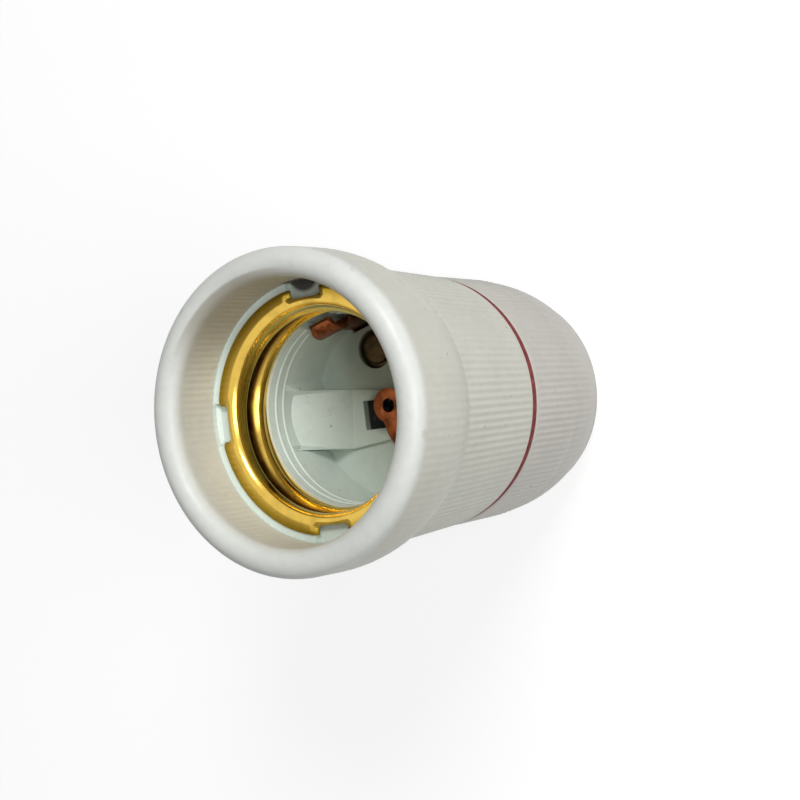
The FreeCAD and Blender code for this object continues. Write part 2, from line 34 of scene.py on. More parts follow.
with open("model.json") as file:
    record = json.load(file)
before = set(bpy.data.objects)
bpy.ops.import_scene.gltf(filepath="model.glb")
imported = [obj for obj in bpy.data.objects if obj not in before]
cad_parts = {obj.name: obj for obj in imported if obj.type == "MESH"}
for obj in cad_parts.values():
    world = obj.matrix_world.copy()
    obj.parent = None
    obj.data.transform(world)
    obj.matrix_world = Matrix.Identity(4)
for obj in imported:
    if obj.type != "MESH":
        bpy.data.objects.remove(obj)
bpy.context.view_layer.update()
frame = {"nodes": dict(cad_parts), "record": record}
nodes = frame["nodes"]
mm = 0.001
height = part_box("front_body")[1].z
print("frame loaded, height", round(height, 5))


# node helpers

def newMaterial(name):
    material = bpy.data.materials.new(name)
    material.use_nodes = True
    material.node_tree.nodes.clear()
    return material


def addNode(tree, kind, inputs=None, **settings):
    node = tree.nodes.new(kind)
    for key, value in settings.items():
        setattr(node, key, value)
    for key, value in (inputs or {}).items():
        socket = node.inputs[key]
        if isinstance(value, bpy.types.NodeSocket):
            tree.links.new(value, socket)
        else:
            socket.default_value = value
    return node


def maths(tree, operation, a, b=0.0, c=None, clamp=False):
    inputs = {0: a, 1: b}
    if c is not None:
        inputs[2] = c
    return addNode(tree, "ShaderNodeMath", inputs, operation=operation, use_clamp=clamp).outputs[0]


def mixColour(tree, share, first, second, blend="MIX"):
    node = addNode(tree, "ShaderNodeMix", None, data_type="RGBA", blend_type=blend)
    for index, value in ((0, share), (6, first), (7, second)):
        if isinstance(value, bpy.types.NodeSocket):
            tree.links.new(value, node.inputs[index])
        else:
            node.inputs[index].default_value = value
    return node.outputs[2]


def smoothStep(tree, value, low, high):
    node = addNode(tree, "ShaderNodeMapRange", {0: value, 1: low, 2: high, 3: 0.0, 4: 1.0})
    node.interpolation_type = "SMOOTHSTEP"
    return node.outputs[0]


def product(tree, first, *others):
    for other in others:
        first = maths(tree, "MULTIPLY", first, other)
    return first


def inverse(tree, share):
    return maths(tree, "SUBTRACT", 1.0, share)


def objectPlace(tree):
    return addNode(tree, "ShaderNodeTexCoord").outputs["Object"]


def place(tree):
    # object coordinates, the height z and the distance from the holder's axis
    coordinates = objectPlace(tree)
    x, y, z = addNode(tree, "ShaderNodeSeparateXYZ", {0: coordinates}).outputs
    squares = maths(tree, "ADD", product(tree, x, x), product(tree, y, y))
    return coordinates, z, maths(tree, "SQRT", squares)


def noise(tree, coordinates, scale, detail=3.0, roughness=0.55):
    inputs = {"Vector": coordinates, "Scale": scale, "Detail": detail, "Roughness": roughness}
    return addNode(tree, "ShaderNodeTexNoise", inputs).outputs[0]


def finishMaterial(material, **inputs):
    tree = material.node_tree
    shader = addNode(tree, "ShaderNodeBsdfPrincipled", inputs)
    addNode(tree, "ShaderNodeOutputMaterial", {"Surface": shader.outputs[0]})
    return material


def bump(tree, height, strength, distance, normal=None):
    inputs = {"Height": height, "Strength": strength, "Distance": distance}
    if normal is not None:
        inputs["Normal"] = normal
    return addNode(tree, "ShaderNodeBump", inputs).outputs[0]


# mesh helpers

def newObject(name, mesh):
    piece = bpy.data.objects.new(name, mesh)
    bpy.context.scene.collection.objects.link(piece)
    return piece


def plainMesh(piece):
    # the evaluated result becomes the piece's own mesh, and its modifiers go
    graph = bpy.context.evaluated_depsgraph_get()
    mesh = bpy.data.meshes.new_from_object(
        piece.evaluated_get(graph), preserve_all_data_layers=True, depsgraph=graph)
    mesh.name = piece.name
    piece.modifiers.clear()
    piece.data = mesh
    return piece


def edited(mesh, change):
    work = bmesh.new()
    work.from_mesh(mesh)
    change(work)
    work.to_mesh(mesh)
    work.free()
    return mesh


def outward(work):
    bmesh.ops.recalc_face_normals(work, faces=work.faces)


def smoothed(mesh, angle=28):
    mesh.shade_smooth()
    mesh.set_sharp_from_angle(angle=math.radians(angle))


def copiedNode(name, nodeName):
    # a merged copy of a CAD node, smooth but for its real edges
    mesh = nodes[nodeName].data.copy()
    mesh.materials.clear()
    if "custom_normal" in mesh.attributes:
        mesh.attributes.remove(mesh.attributes["custom_normal"])

    def merge(work):
        bmesh.ops.remove_doubles(work, verts=work.verts, dist=0.002 * mm)
        bmesh.ops.dissolve_degenerate(work, edges=work.edges, dist=0.001 * mm)
        outward(work)

    edited(mesh, merge)
    smoothed(mesh)
    return newObject(name, mesh)


def joined(name, *pieces):
    mesh = bpy.data.meshes.new(name)

    def gather(work):
        for piece in pieces:
            work.from_mesh(piece.data)

    edited(mesh, gather)
    for piece in pieces:
        bpy.data.objects.remove(piece)
    return newObject(name, mesh)


def bevelled(piece, width, segments=2, angle=32):
    # flat faces are joined first, so that only real edges are rounded
    def flatten(work):
        bmesh.ops.dissolve_limit(work, angle_limit=math.radians(0.6), verts=work.verts, edges=work.edges)

    edited(piece.data, flatten)
    bevel = piece.modifiers.new("edges", "BEVEL")
    bevel.width = width
    bevel.segments = segments
    bevel.limit_method = "ANGLE"
    bevel.angle_limit = math.radians(angle)
    plainMesh(piece)
    smoothed(piece.data, 40)
    return piece


def finished(piece, slot, body, *replaced):
    piece.data.materials.clear()
    piece.data.materials.append(looks[slot])
    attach(piece, body)
    if replaced:
        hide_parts(*replaced)
    return piece


# turned parts by Geometry Nodes: a profile spun round z, with ribs, a thread or a hexagon

ridgePower = 1.8


def turnedTree():
    tree = bpy.data.node_groups.new("turnedPart", "GeometryNodeTree")
    face = tree.interface
    face.new_socket("Profile", in_out="INPUT", socket_type="NodeSocketGeometry")
    for name, kind in (("Columns", "Int"), ("Rib Count", "Int"), ("Rib Height", "Float"),
                       ("Thread Pitch", "Float"), ("Thread Depth", "Float"), ("Thread Start", "Float"),
                       ("Thread Roundness", "Float"), ("Across Flats", "Float"), ("Material", "Material")):
        face.new_socket(name, in_out="INPUT", socket_type="NodeSocket" + kind)
    face.new_socket("Geometry", in_out="OUTPUT", socket_type="NodeSocketGeometry")
    given = addNode(tree, "NodeGroupInput").outputs
    position = addNode(tree, "GeometryNodeInputPosition").outputs[0]

    rows = addNode(tree, "GeometryNodeAttributeDomainSize", {0: given["Profile"]},
                   component="MESH").outputs[0]
    columns = maths(tree, "ADD", given["Columns"], 1)
    gridInputs = {"Size X": 1.0, "Size Y": 1.0, "Vertices X": rows, "Vertices Y": columns}
    grid = addNode(tree, "GeometryNodeMeshGrid", gridInputs).outputs[0]
    spot = addNode(tree, "ShaderNodeSeparateXYZ", {0: position}).outputs
    row = maths(tree, "MULTIPLY", maths(tree, "ADD", spot[0], 0.5), maths(tree, "SUBTRACT", rows, 1))
    row = maths(tree, "ROUND", row)
    turn = maths(tree, "ADD", spot[1], 0.5)
    angle = maths(tree, "MULTIPLY", turn, 2 * math.pi)

    def sampled(kind, value):
        node = addNode(tree, "GeometryNodeSampleIndex", {"Geometry": given["Profile"], "Index": row},
                       data_type=kind, domain="POINT")
        tree.links.new(value, node.inputs["Value"])
        return node.outputs[0]

    def share(name):
        return sampled("FLOAT", addNode(tree, "GeometryNodeInputNamedAttribute", {"Name": name},
                                        data_type="FLOAT").outputs[0])

    point = addNode(tree, "ShaderNodeSeparateXYZ", {0: sampled("FLOAT_VECTOR", position)}).outputs
    # a hexagon never reaches past the profile, which gives a nut its chamfer
    sixth = math.pi / 3
    within = maths(tree, "MODULO", angle, sixth)
    within = maths(tree, "SUBTRACT", within, sixth / 2)
    halfFlats = product(tree, given["Across Flats"], 0.5)
    flat = maths(tree, "DIVIDE", halfFlats, maths(tree, "COSINE", within))
    radius = maths(tree, "MINIMUM", point[0], flat)
    # ribs are narrow ridges between wider valleys
    wave = maths(tree, "COSINE", product(tree, angle, given["Rib Count"], 0.5))
    wave = inverse(tree, maths(tree, "POWER", maths(tree, "ABSOLUTE", wave), ridgePower))
    valley = product(tree, given["Rib Height"], share("ribShare"), wave)
    radius = maths(tree, "SUBTRACT", radius, valley)
    # the thread's groove climbs one pitch in a turn
    climb = maths(tree, "SUBTRACT", point[2], given["Thread Start"])
    phase = maths(tree, "SUBTRACT", maths(tree, "DIVIDE", climb, given["Thread Pitch"]), turn)
    cutForm = maths(tree, "MULTIPLY_ADD", maths(tree, "PINGPONG", phase, 0.5), 2.6, -0.15, clamp=True)
    rolledForm = maths(tree, "COSINE", product(tree, phase, 2 * math.pi))
    rolledForm = maths(tree, "MULTIPLY_ADD", rolledForm, -0.5, 0.5)
    rounder = product(tree, maths(tree, "SUBTRACT", rolledForm, cutForm), given["Thread Roundness"])
    groove = maths(tree, "ADD", cutForm, rounder)
    groove = product(tree, given["Thread Depth"], share("threadShare"), groove)
    radius = maths(tree, "SUBTRACT", radius, groove)
    across = [product(tree, radius, maths(tree, way, angle)) for way in ("COSINE", "SINE")]
    away = addNode(tree, "ShaderNodeCombineXYZ", {0: across[0], 1: across[1], 2: point[2]}).outputs[0]
    skin = addNode(tree, "GeometryNodeSetPosition", {"Geometry": grid, "Position": away}).outputs[0]
    skin = addNode(tree, "GeometryNodeMergeByDistance", {"Geometry": skin, "Distance": 0.001 * mm}).outputs[0]
    skin = addNode(tree, "GeometryNodeSetShadeSmooth", {"Geometry": skin}).outputs[0]
    skin = addNode(tree, "GeometryNodeRealizeInstances", {"Geometry": skin}).outputs[0]
    skin = addNode(tree, "GeometryNodeSetMaterial",
                   {"Geometry": skin, "Material": given["Material"]}).outputs[0]
    addNode(tree, "NodeGroupOutput", {0: skin})
    return tree


turned = turnedTree()
turnedSockets = {item.name: item.identifier for item in turned.interface.items_tree if item.in_out == "INPUT"}


def turnedPart(name, profile, slot, columns=96, **sizes):
    # a profile point is (radius, z, rib share, thread share), and the profile's ends meet
    mesh = bpy.data.meshes.new(name + "Profile")
    mesh.from_pydata([(p[0], 0, p[1]) for p in profile], [(i, i + 1) for i in range(len(profile) - 1)], [])
    for column, layer in ((2, "ribShare"), (3, "threadShare")):
        values = mesh.attributes.new(layer, "FLOAT", "POINT").data
        for i, point in enumerate(profile):
            values[i].value = point[column] if len(point) > column else 0.0
    piece = newObject(name, mesh)
    modifier = piece.modifiers.new("turned", "NODES")
    modifier.node_group = turned
    inputs = {"Columns": columns, "Rib Count": 0, "Rib Height": 0.0, "Thread Pitch": 1.0, "Thread Depth": 0.0,
              "Thread Start": 0.0, "Thread Roundness": 0.0, "Across Flats": 1.0, "Material": looks[slot]}
    inputs.update(sizes)
    for key, value in inputs.items():
        modifier[turnedSockets[key]] = value
    plainMesh(piece)
    edited(piece.data, outward)
    return piece


def run(start, end, count, first=0):
    # points along a straight line from start to end
    return [tuple(a + (b - a) * i / count for a, b in zip(start, end)) for i in range(first, count + 1)]


def arc(centre, radius, fromAngle, toAngle, count, ribs=0.0, ribsEnd=None):
    # points of a quarter or so of a circle in the r, z plane, angles in degrees
    ribsEnd = ribs if ribsEnd is None else ribsEnd
    points = []
    for i in range(count + 1):
        share = i / count
        angle = math.radians(fromAngle + (toAngle - fromAngle) * share)
        points.append((centre[0] + radius * math.cos(angle), centre[1] + radius * math.sin(angle),
                       ribs + (ribsEnd - ribs) * share, 0.0))
    return points


# materials

porcelainLook = {
    "outside": (0.56, 0.56, 0.49, 1),
    "cap": (0.52, 0.50, 0.455, 1),
    "inside": (0.67, 0.75, 0.69, 1),
    "skirt": (0.60, 0.59, 0.52, 1),
    "rim": (0.70, 0.72, 0.68, 1),
    # below the well's floor, near the axis, the colour is painted shade, near black
    "raw": (0.07, 0.07, 0.058, 1),
    "speck": (0.22, 0.19, 0.13, 1),
    "speckScale": 460.0,
    "blotch": (0.40, 0.37, 0.29, 1),
    "rimDepth": 1.0 * mm, "rimSoft": 1.6 * mm,
    "ledgeDepth": 8.2 * mm, "edgeSoft": 0.3 * mm,
    "wellEnd": 31.0 * mm, "wellRadius": 16.5 * mm, "skirtRadius": 17.2 * mm,
    "belowFloorShadeDepth": 26.2 * mm, "belowFloorShadeSoft": 0.5 * mm, "belowFloorShadeRadius": 13.6 * mm,
    "neckDepth": 31.5 * mm, "neckBore": 11.6 * mm, "capDepth": 33.0 * mm,
}
# a mark is full within its core and gone past its edge
porcelainMarks = {
    # a darker patch on the floor under the centre contact
    "burnt": {"colour": (0.07, 0.07, 0.058, 1), "at": (-1.2 * mm, -0.6 * mm, 0.0),
              "core": 1.6 * mm, "edge": 3.6 * mm, "share": 0.85, "depth": 24.0 * mm},
    # painted shadow, slightly brown, over the floor's +y side near the side contact
    "soot": {"colour": (0.13, 0.125, 0.10, 1), "at": (1.0 * mm, 9.0 * mm, 0.0),
             "core": 5.5 * mm, "edge": 10.5 * mm, "share": 0.5, "depth": 23.5 * mm},
    # a darker patch on the inside of the skirt towards +y
    "skirtDarkPatch": {"colour": (0.30, 0.27, 0.20, 1), "at": (-7.0 * mm, 15.0 * mm, 0.0),
               "core": 3.0 * mm, "edge": 13.0 * mm, "share": 0.7},
    # painted shadow, near black, in the pocket of the top notch
    "pocket": {"colour": (0.06, 0.057, 0.05, 1), "at": (-0.4 * mm, 17.2 * mm, 0.0),
               "core": 1.9 * mm, "edge": 2.6 * mm, "share": 1.0, "depth": 7.4 * mm, "end": 10.4 * mm},
}


def porcelain():
    look, marks = porcelainLook, porcelainMarks
    material = newMaterial("glazedPorcelain")
    tree = material.node_tree
    coordinates, z, radius = place(tree)
    depth = maths(tree, "SUBTRACT", height, z)
    flat = addNode(tree, "ShaderNodeVectorMath", {0: coordinates, 1: (1.0, 1.0, 0.0)},
                   operation="MULTIPLY").outputs[0]

    def below(limit, soft=0.6 * mm):
        return smoothStep(tree, depth, limit, limit + soft)

    def above(limit, soft=0.6 * mm):
        return inverse(tree, below(limit, soft))

    def inside(limit, soft=0.4 * mm):
        return inverse(tree, smoothStep(tree, radius, limit, limit + soft))

    def marked(colour, name, band):
        mark = marks[name]
        away = addNode(tree, "ShaderNodeVectorMath", {0: flat, 1: mark["at"]},
                       operation="DISTANCE").outputs["Value"]
        near = inverse(tree, smoothStep(tree, away, mark["core"], mark["edge"]))
        return mixColour(tree, product(tree, near, band, mark["share"]), colour, mark["colour"])

    # the glaze is bright on the rim, blue-grey in the well and thin on the cap
    soft = look["edgeSoft"]
    inWell = product(tree, below(look["ledgeDepth"], soft), above(look["wellEnd"]),
                     inside(look["wellRadius"]))
    inSkirt = product(tree, inside(look["skirtRadius"]), above(look["ledgeDepth"], soft))
    offThread = maths(tree, "MAXIMUM", above(look["neckDepth"]), inside(look["neckBore"]))
    # painted shade: near black on the porcelain deeper than the well's floor and near the axis, as in the
    # window and the chamber under the floor, but not on the neck's thread
    inBelowFloorShade = product(tree, below(look["belowFloorShadeDepth"], look["belowFloorShadeSoft"]), inside(look["belowFloorShadeRadius"]), offThread)
    colour = mixColour(tree, below(look["capDepth"]), look["outside"], look["cap"])
    colour = mixColour(tree, inSkirt, colour, look["skirt"])
    colour = mixColour(tree, inWell, colour, look["inside"])
    colour = mixColour(tree, above(look["rimDepth"], look["rimSoft"]), colour, look["rim"])
    colour = mixColour(tree, inBelowFloorShade, colour, look["raw"])
    # marks: a darker patch under the centre contact, a painted shadow on the floor near the side contact, a
    # darker patch on the skirt towards +y, and a painted near-black shadow in the top notch's pocket
    pocket = marks["pocket"]
    colour = marked(colour, "burnt", below(marks["burnt"]["depth"]))
    # painted shadow on the floor's +y side
    colour = marked(colour, "soot", below(marks["soot"]["depth"]))
    colour = marked(colour, "skirtDarkPatch", inSkirt)
    colour = marked(colour, "pocket", product(tree, below(pocket["depth"], soft), above(pocket["end"], soft)))
    cloud = maths(tree, "MULTIPLY_ADD", noise(tree, coordinates, 140.0, 5.0, 0.6), 0.20, 0.90)
    streak = maths(tree, "MULTIPLY_ADD", noise(tree, coordinates, 900.0, 3.0, 0.6), 0.14, 0.93)
    shade = maths(tree, "MULTIPLY", cloud, streak)
    grey = addNode(tree, "ShaderNodeCombineColor", {0: shade, 1: shade, 2: shade}).outputs[0]
    colour = mixColour(tree, 1.0, colour, grey, "MULTIPLY")
    blotch = smoothStep(tree, noise(tree, coordinates, 520.0, 2.0, 0.5), 0.66, 0.80)
    colour = mixColour(tree, maths(tree, "MULTIPLY", blotch, 0.35), colour, look["blotch"])
    cells = addNode(tree, "ShaderNodeTexVoronoi", {"Vector": coordinates, "Scale": look["speckScale"]})
    dots = inverse(tree, smoothStep(tree, cells.outputs["Distance"], 0.05, 0.13))
    pick = addNode(tree, "ShaderNodeSeparateColor", {0: cells.outputs["Color"]}).outputs[0]
    some = maths(tree, "GREATER_THAN", pick, 0.88)
    specks = product(tree, dots, some, 0.55)
    colour = mixColour(tree, specks, colour, look["speck"])
    rough = maths(tree, "MULTIPLY_ADD", noise(tree, coordinates, 2600.0, 2.0), 0.20, 0.36)
    normal = bump(tree, noise(tree, coordinates, 800.0, 4.0), 0.5, 0.05 * mm)
    normal = bump(tree, specks, 0.6, -0.05 * mm, normal)
    return finishMaterial(material, **{
        "Base Color": colour, "Roughness": rough, "Normal": normal,
        "Coat Weight": 0.12, "Coat Roughness": 0.22, "Specular IOR Level": 0.4})


brassLook = {
    "lip": (0.40, 0.26, 0.025, 1),
    "crest": (0.78, 0.52, 0.10, 1),
    # the root colour is painted shade, near black, in the thread's groove
    "root": (0.050, 0.018, 0.002, 1),
    "tarnish": (0.28, 0.16, 0.018, 1),
    "crestRadius": 12.55 * mm, "rootRadius": 13.15 * mm,
    "bendEnd": 1.1 * mm, "rootStart": 1.7 * mm,
    "lipStart": 13.9 * mm, "lipFull": 15.2 * mm,
}


def rolledBrass():
    look = brassLook
    material = newMaterial("rolledBrass")
    tree = material.node_tree
    coordinates, z, radius = place(tree)
    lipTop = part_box("screw_shell")[1].z
    below = maths(tree, "SUBTRACT", lipTop, z)
    # painted shade: the thread's groove below the lip's bend is darkened to near black
    inGrooveShade = smoothStep(tree, radius, look["crestRadius"], look["rootRadius"])
    inGrooveShade = product(tree, inGrooveShade, smoothStep(tree, below, look["bendEnd"], look["rootStart"]))
    onLip = smoothStep(tree, radius, look["lipStart"], look["lipFull"])
    colour = mixColour(tree, onLip, look["crest"], look["lip"])
    colour = mixColour(tree, inGrooveShade, colour, look["root"])
    stain = smoothStep(tree, noise(tree, coordinates, 300.0, 5.0), 0.45, 0.75)
    colour = mixColour(tree, maths(tree, "MULTIPLY", stain, 0.4), colour, look["tarnish"])
    rough = maths(tree, "MULTIPLY_ADD", noise(tree, coordinates, 1500.0, 3.0), 0.12, 0.10)
    rough = maths(tree, "ADD", rough, maths(tree, "MULTIPLY", inGrooveShade, 0.15))
    normal = bump(tree, noise(tree, coordinates, 700.0, 2.0), 0.12, 0.03 * mm)
    return finishMaterial(material, **{"Base Color": colour, "Metallic": 1.0, "Roughness": rough,
                                       "Normal": normal})


def wornMetal(name, colour, stain, scale=900.0, rough=0.3, grain=0.25):
    material = newMaterial(name)
    tree = material.node_tree
    coordinates = objectPlace(tree)
    share = smoothStep(tree, noise(tree, coordinates, scale, 5.0), 0.42, 0.72)
    mixed = mixColour(tree, share, colour, stain)
    roughness = maths(tree, "MULTIPLY_ADD", noise(tree, coordinates, 2.4 * scale, 3.0), 0.3, rough)
    normal = bump(tree, noise(tree, coordinates, 3.0 * scale, 3.0), grain, 0.03 * mm)
    return finishMaterial(material, **{"Base Color": mixed, "Metallic": 1.0, "Roughness": roughness,
                                       "Normal": normal})


def redFibre():
    material = newMaterial("redFibre")
    tree = material.node_tree
    coordinates = objectPlace(tree)
    mottled = smoothStep(tree, noise(tree, coordinates, 1400.0, 4.0), 0.35, 0.7)
    colour = mixColour(tree, mottled, (0.13, 0.012, 0.014, 1), (0.25, 0.035, 0.035, 1))
    normal = bump(tree, noise(tree, coordinates, 3000.0, 3.0), 0.5, 0.05 * mm)
    return finishMaterial(material, **{"Base Color": colour, "Roughness": 0.78, "Normal": normal})


# name, colour, stain, noise scale, roughness
metals = {
    "entry_steel": ("zincSteel", (0.58, 0.58, 0.56, 1), (0.42, 0.42, 0.42, 1), 700.0, 0.28),
    "contact_copper": ("tarnishedCopper", (0.30, 0.088, 0.032, 1), (0.055, 0.018, 0.010, 1), 700.0, 0.20),
    # painted shade: the rivets' brass is made near black
    "rivet_brass": ("rivetBrass", (0.09, 0.06, 0.028, 1), (0.045, 0.028, 0.014, 1), 1100.0, 0.36),
    "terminal_brass": ("plateBrass", (0.66, 0.47, 0.19, 1), (0.40, 0.26, 0.10, 1), 900.0, 0.24),
    "screw_steel": ("screwSteel", (0.56, 0.56, 0.54, 1), (0.38, 0.38, 0.37, 1), 1000.0, 0.24),
}
looks = {"porcelain": porcelain(), "shell_brass": rolledBrass(), "gasket_fibre": redFibre()}
looks.update({slot: wornMetal(*row) for slot, row in metals.items()})
print("materials ready")


# front body: the CAD body with a ribbed glazed skin over its outside, rim and skirt

skinLook = {
    "ribCount": 120, "columnsPerRib": 6,
    "bodyRib": 0.15 * mm, "flareRib": 0.28, "shoulderRib": 0.75, "boreRib": 0.35,
    "pull": 0.40 * mm, "thick": 0.62 * mm, "proud": 0.03 * mm,
    "wall": 3.6 * mm, "skinRadius": 15.9 * mm, "skirtEnd": 8.75 * mm, "ledgeDrop": 0.4 * mm,
    "flareStart": 6.5 * mm, "flareBulge": 18.0 * mm, "flareRun": 8.0 * mm, "jointRadius": 17.05 * mm,
    "footRadius": 16.76 * mm, "footRound": 0.10 * mm, "innerFoot": 16.2 * mm, "innerTop": 17.0 * mm,
}


def bodySizes():
    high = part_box("front_body")[1]
    gasketLow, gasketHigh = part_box("gasket_ring")
    mouth, wall = high.x, skinLook["wall"]
    return {
        "top": high.z, "mouth": mouth, "wall": wall, "rimCentre": (mouth - wall / 2, high.z - wall / 2),
        "ledge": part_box("screw_shell")[1].z - 0.35 * mm, "joint": gasketHigh.z, "capTop": gasketLow.z,
    }


size = bodySizes()


def pulledIn(piece, choose, amount):
    # the copied skin sinks below the new one
    mesh = piece.data
    for vertex in mesh.vertices:
        x, y, z = vertex.co
        radius = math.hypot(x, y)
        move = choose(radius, size["top"] - z, z)
        if move is None:
            continue
        newRadius, newZ = move(amount)
        vertex.co = (x * newRadius / radius, y * newRadius / radius, newZ)
    mesh.update()


def bodySkinMove(radius, depth, z):
    half, centre = size["wall"] / 2, size["rimCentre"]
    if radius <= skinLook["skinRadius"]:
        return None
    if depth < half:
        across, along = radius - centre[0], z - centre[1]

        def shrunk(amount):
            share = 1 - amount / half
            return centre[0] + across * share, centre[1] + along * share

        return shrunk
    if depth < skinLook["skirtEnd"] and radius < centre[0]:
        return lambda amount: (radius + amount, z)
    return lambda amount: (radius - amount, z)


barLook = {
    "turn": -7.5, "shift": -2.0 * mm, "slim": 0.96, "near": 0.06 * mm,
    "halfWidth": 4.1 * mm, "top": 19.1 * mm, "bottom": 26.1 * mm, "foot": 0.2 * mm,
    "well": 12.3 * mm, "wallBand": 0.1 * mm, "end": 3.4 * mm,
    "windowFrom": -4.7 * mm, "windowEdge": -3.0 * mm, "windowTo": 1.3 * mm,
    "windowHalf": 2.0 * mm, "windowShift": -0.9 * mm,
}


def turnBar(mesh):
    # the bar across the well's floor is turned, moved and a little slimmer, and its window
    # is moved and runs on under the contact
    look = barLook
    turn = Matrix.Rotation(math.radians(look["turn"]), 3, "Z")
    near, halfWidth = look["near"], look["halfWidth"]
    for vertex in mesh.vertices:
        x, y, z = vertex.co
        depth = size["top"] - z
        radius = math.hypot(x, y)
        if depth <= look["top"]:
            continue
        inWindow = look["windowFrom"] < x < look["windowEdge"] + near and abs(y) < look["windowHalf"]
        if inWindow:
            along = look["windowTo"] if abs(x - look["windowEdge"]) < near else x
            vertex.co = (along, y + look["windowShift"], z)
            continue
        if depth >= look["bottom"]:
            continue
        onTop = abs(y) < halfWidth and depth < look["bottom"] - look["foot"]
        onSide = abs(abs(y) - halfWidth) < near and radius < look["well"]
        atEnd = abs(x - look["end"]) < near and abs(y) < halfWidth
        if onTop or onSide or atEnd:
            moved = turn @ Vector((x, y * look["slim"], z))
            moved.y += look["shift"]
            if onTop and x < 0 and radius > look["well"] - look["wallBand"]:
                moved.x = near - math.sqrt(look["well"] ** 2 - moved.y ** 2)
            if x > 0:
                # the contact's foot needs its room beside the bar
                moved.y = max(moved.y, -halfWidth)
            vertex.co = moved


def frontBody():
    look = skinLook
    core = copiedNode("bodyCore", "front_body")
    turnBar(core.data)
    pulledIn(core, bodySkinMove, look["pull"])
    top, mouth, half = size["top"], size["mouth"] + look["proud"], size["wall"] / 2 + look["proud"]
    bore = size["mouth"] - size["wall"] - look["proud"]
    rim, thick = size["rimCentre"], look["thick"]
    ledge, joint = size["ledge"] - look["ledgeDrop"], size["joint"]
    boreRib, flareRib = look["boreRib"], look["flareRib"]
    flareTop, bulge = top - look["flareStart"], look["flareBulge"]
    centre = (size["mouth"] - bulge, flareTop)
    end = -math.degrees(math.asin(look["flareRun"] / bulge))
    outer = run((bore, ledge, -boreRib, 0), (bore, rim[1] - 0.6 * mm, -boreRib, 0), 8)
    outer += [(bore, rim[1], 0, 0)]
    outer += arc(rim, half, 180, 0, 22)[1:]
    outer += run((mouth, rim[1] - 0.8 * mm, flareRib, 0), (mouth, flareTop, flareRib, 0), 3)
    outer += arc(centre, bulge + look["proud"], 0, end, 14, flareRib, 0.5)[1:]
    lastRadius, lastZ = outer[-1][0], outer[-1][1]
    crest = lastRadius - 0.10 * mm
    outer += [(lastRadius - 0.13 * mm, lastZ - 0.10 * mm, 0.5, 0), (crest, lastZ - 0.35 * mm, 0.9, 0)]
    jointRadius = look["jointRadius"] + look["proud"]
    outer += run((crest, lastZ - 0.35 * mm, 1, 0), (jointRadius, joint + 0.9 * mm, 1, 0), 8, 1)
    outer += [(jointRadius - 0.04 * mm, joint + 0.45 * mm, 0.25, 0),
              (jointRadius - 0.09 * mm, joint + 0.22 * mm, 0, 0),
              (look["footRadius"] + look["footRound"], joint + 0.06 * mm, 0, 0),
              (look["footRadius"], joint, 0, 0)]
    inner = [(look["innerFoot"], joint, 0, 0), (look["innerTop"], lastZ, 0, 0)]
    inner += [(p[0], p[1], 0, 0) for p in reversed(arc(centre, bulge - thick, 0, end, 6))]
    inner += arc(rim, half - thick, 0, 180, 12)
    inner += [(bore + thick, ledge, 0, 0), outer[0]]
    skin = turnedPart("bodySkin", outer + inner, "porcelain", look["ribCount"] * look["columnsPerRib"],
                      **{"Rib Count": look["ribCount"], "Rib Height": look["bodyRib"]})
    body = joined("frontBody", core, skin)
    smoothed(body.data, 34)
    return finished(body, "porcelain", "front", "front_body")


# rear cap: the same skin down its side and over its shoulder

capLook = {
    "sideEnd": 45.6 * mm, "sideRadius": 15.6 * mm, "shoulderEnd": 54.9 * mm, "shoulderRadius": 13.6 * mm,
    "frontRadius": 16.95 * mm, "rearRadius": 16.70 * mm, "bendDepth": 45.5 * mm, "endDepth": 54.95 * mm,
    "endRadius": 14.76 * mm, "sag": 0.45 * mm, "startRadius": 16.66 * mm, "startRound": 0.14 * mm,
}


def capSkinMove(radius, depth, z):
    look = capLook
    jointDepth = size["top"] - size["capTop"]
    side = depth < look["sideEnd"] and radius > look["sideRadius"]
    shoulder = look["sideEnd"] <= depth < look["shoulderEnd"] and radius > look["shoulderRadius"]
    if depth >= jointDepth - 0.01 * mm and (side or shoulder):
        return lambda amount: (radius - amount, z)
    return None


def rearCap():
    look = skinLook
    core = copiedNode("capCore", "rear_cap")
    pulledIn(core, capSkinMove, look["pull"])
    top, joint = size["top"], size["capTop"]
    crest, rear = capLook["frontRadius"] + look["proud"], capLook["rearRadius"] + look["proud"]
    bend, end = top - capLook["bendDepth"], top - capLook["endDepth"]
    start = capLook["startRadius"]
    outer = [(start, joint, 0, 0), (start + capLook["startRound"], joint - 0.07 * mm, 0, 0),
             (crest - 0.07 * mm, joint - 0.3 * mm, 0, 0), (crest - 0.03 * mm, joint - 0.55 * mm, 0.3, 0)]
    outer += run((crest, joint - 1.0 * mm, 1, 0), (rear, bend + 0.3 * mm, 1, 0), 7)
    startRadius, endRadius, sag = rear - 0.2 * mm, capLook["endRadius"], capLook["sag"]
    for i in range(15):
        share = i / 14
        radius = startRadius + (endRadius - startRadius) * share + 4 * sag * share * (1 - share)
        outer.append((radius, bend - 0.15 * mm + (end - bend + 0.15 * mm) * share,
                      look["shoulderRib"] * (1 - share) ** 0.6, 0))
    inner = [(endRadius - 0.5 * mm, end, 0, 0), (15.6 * mm, bend, 0, 0), (16.0 * mm, joint, 0, 0), outer[0]]
    skin = turnedPart("capSkin", outer + inner, "porcelain", look["ribCount"] * look["columnsPerRib"],
                      **{"Rib Count": look["ribCount"], "Rib Height": look["bodyRib"]})
    cap = joined("rearCap", core, skin)
    smoothed(cap.data, 34)
    return finished(cap, "porcelain", "cap", "rear_cap")


frontBody()
rearCap()
print("porcelain halves ready")


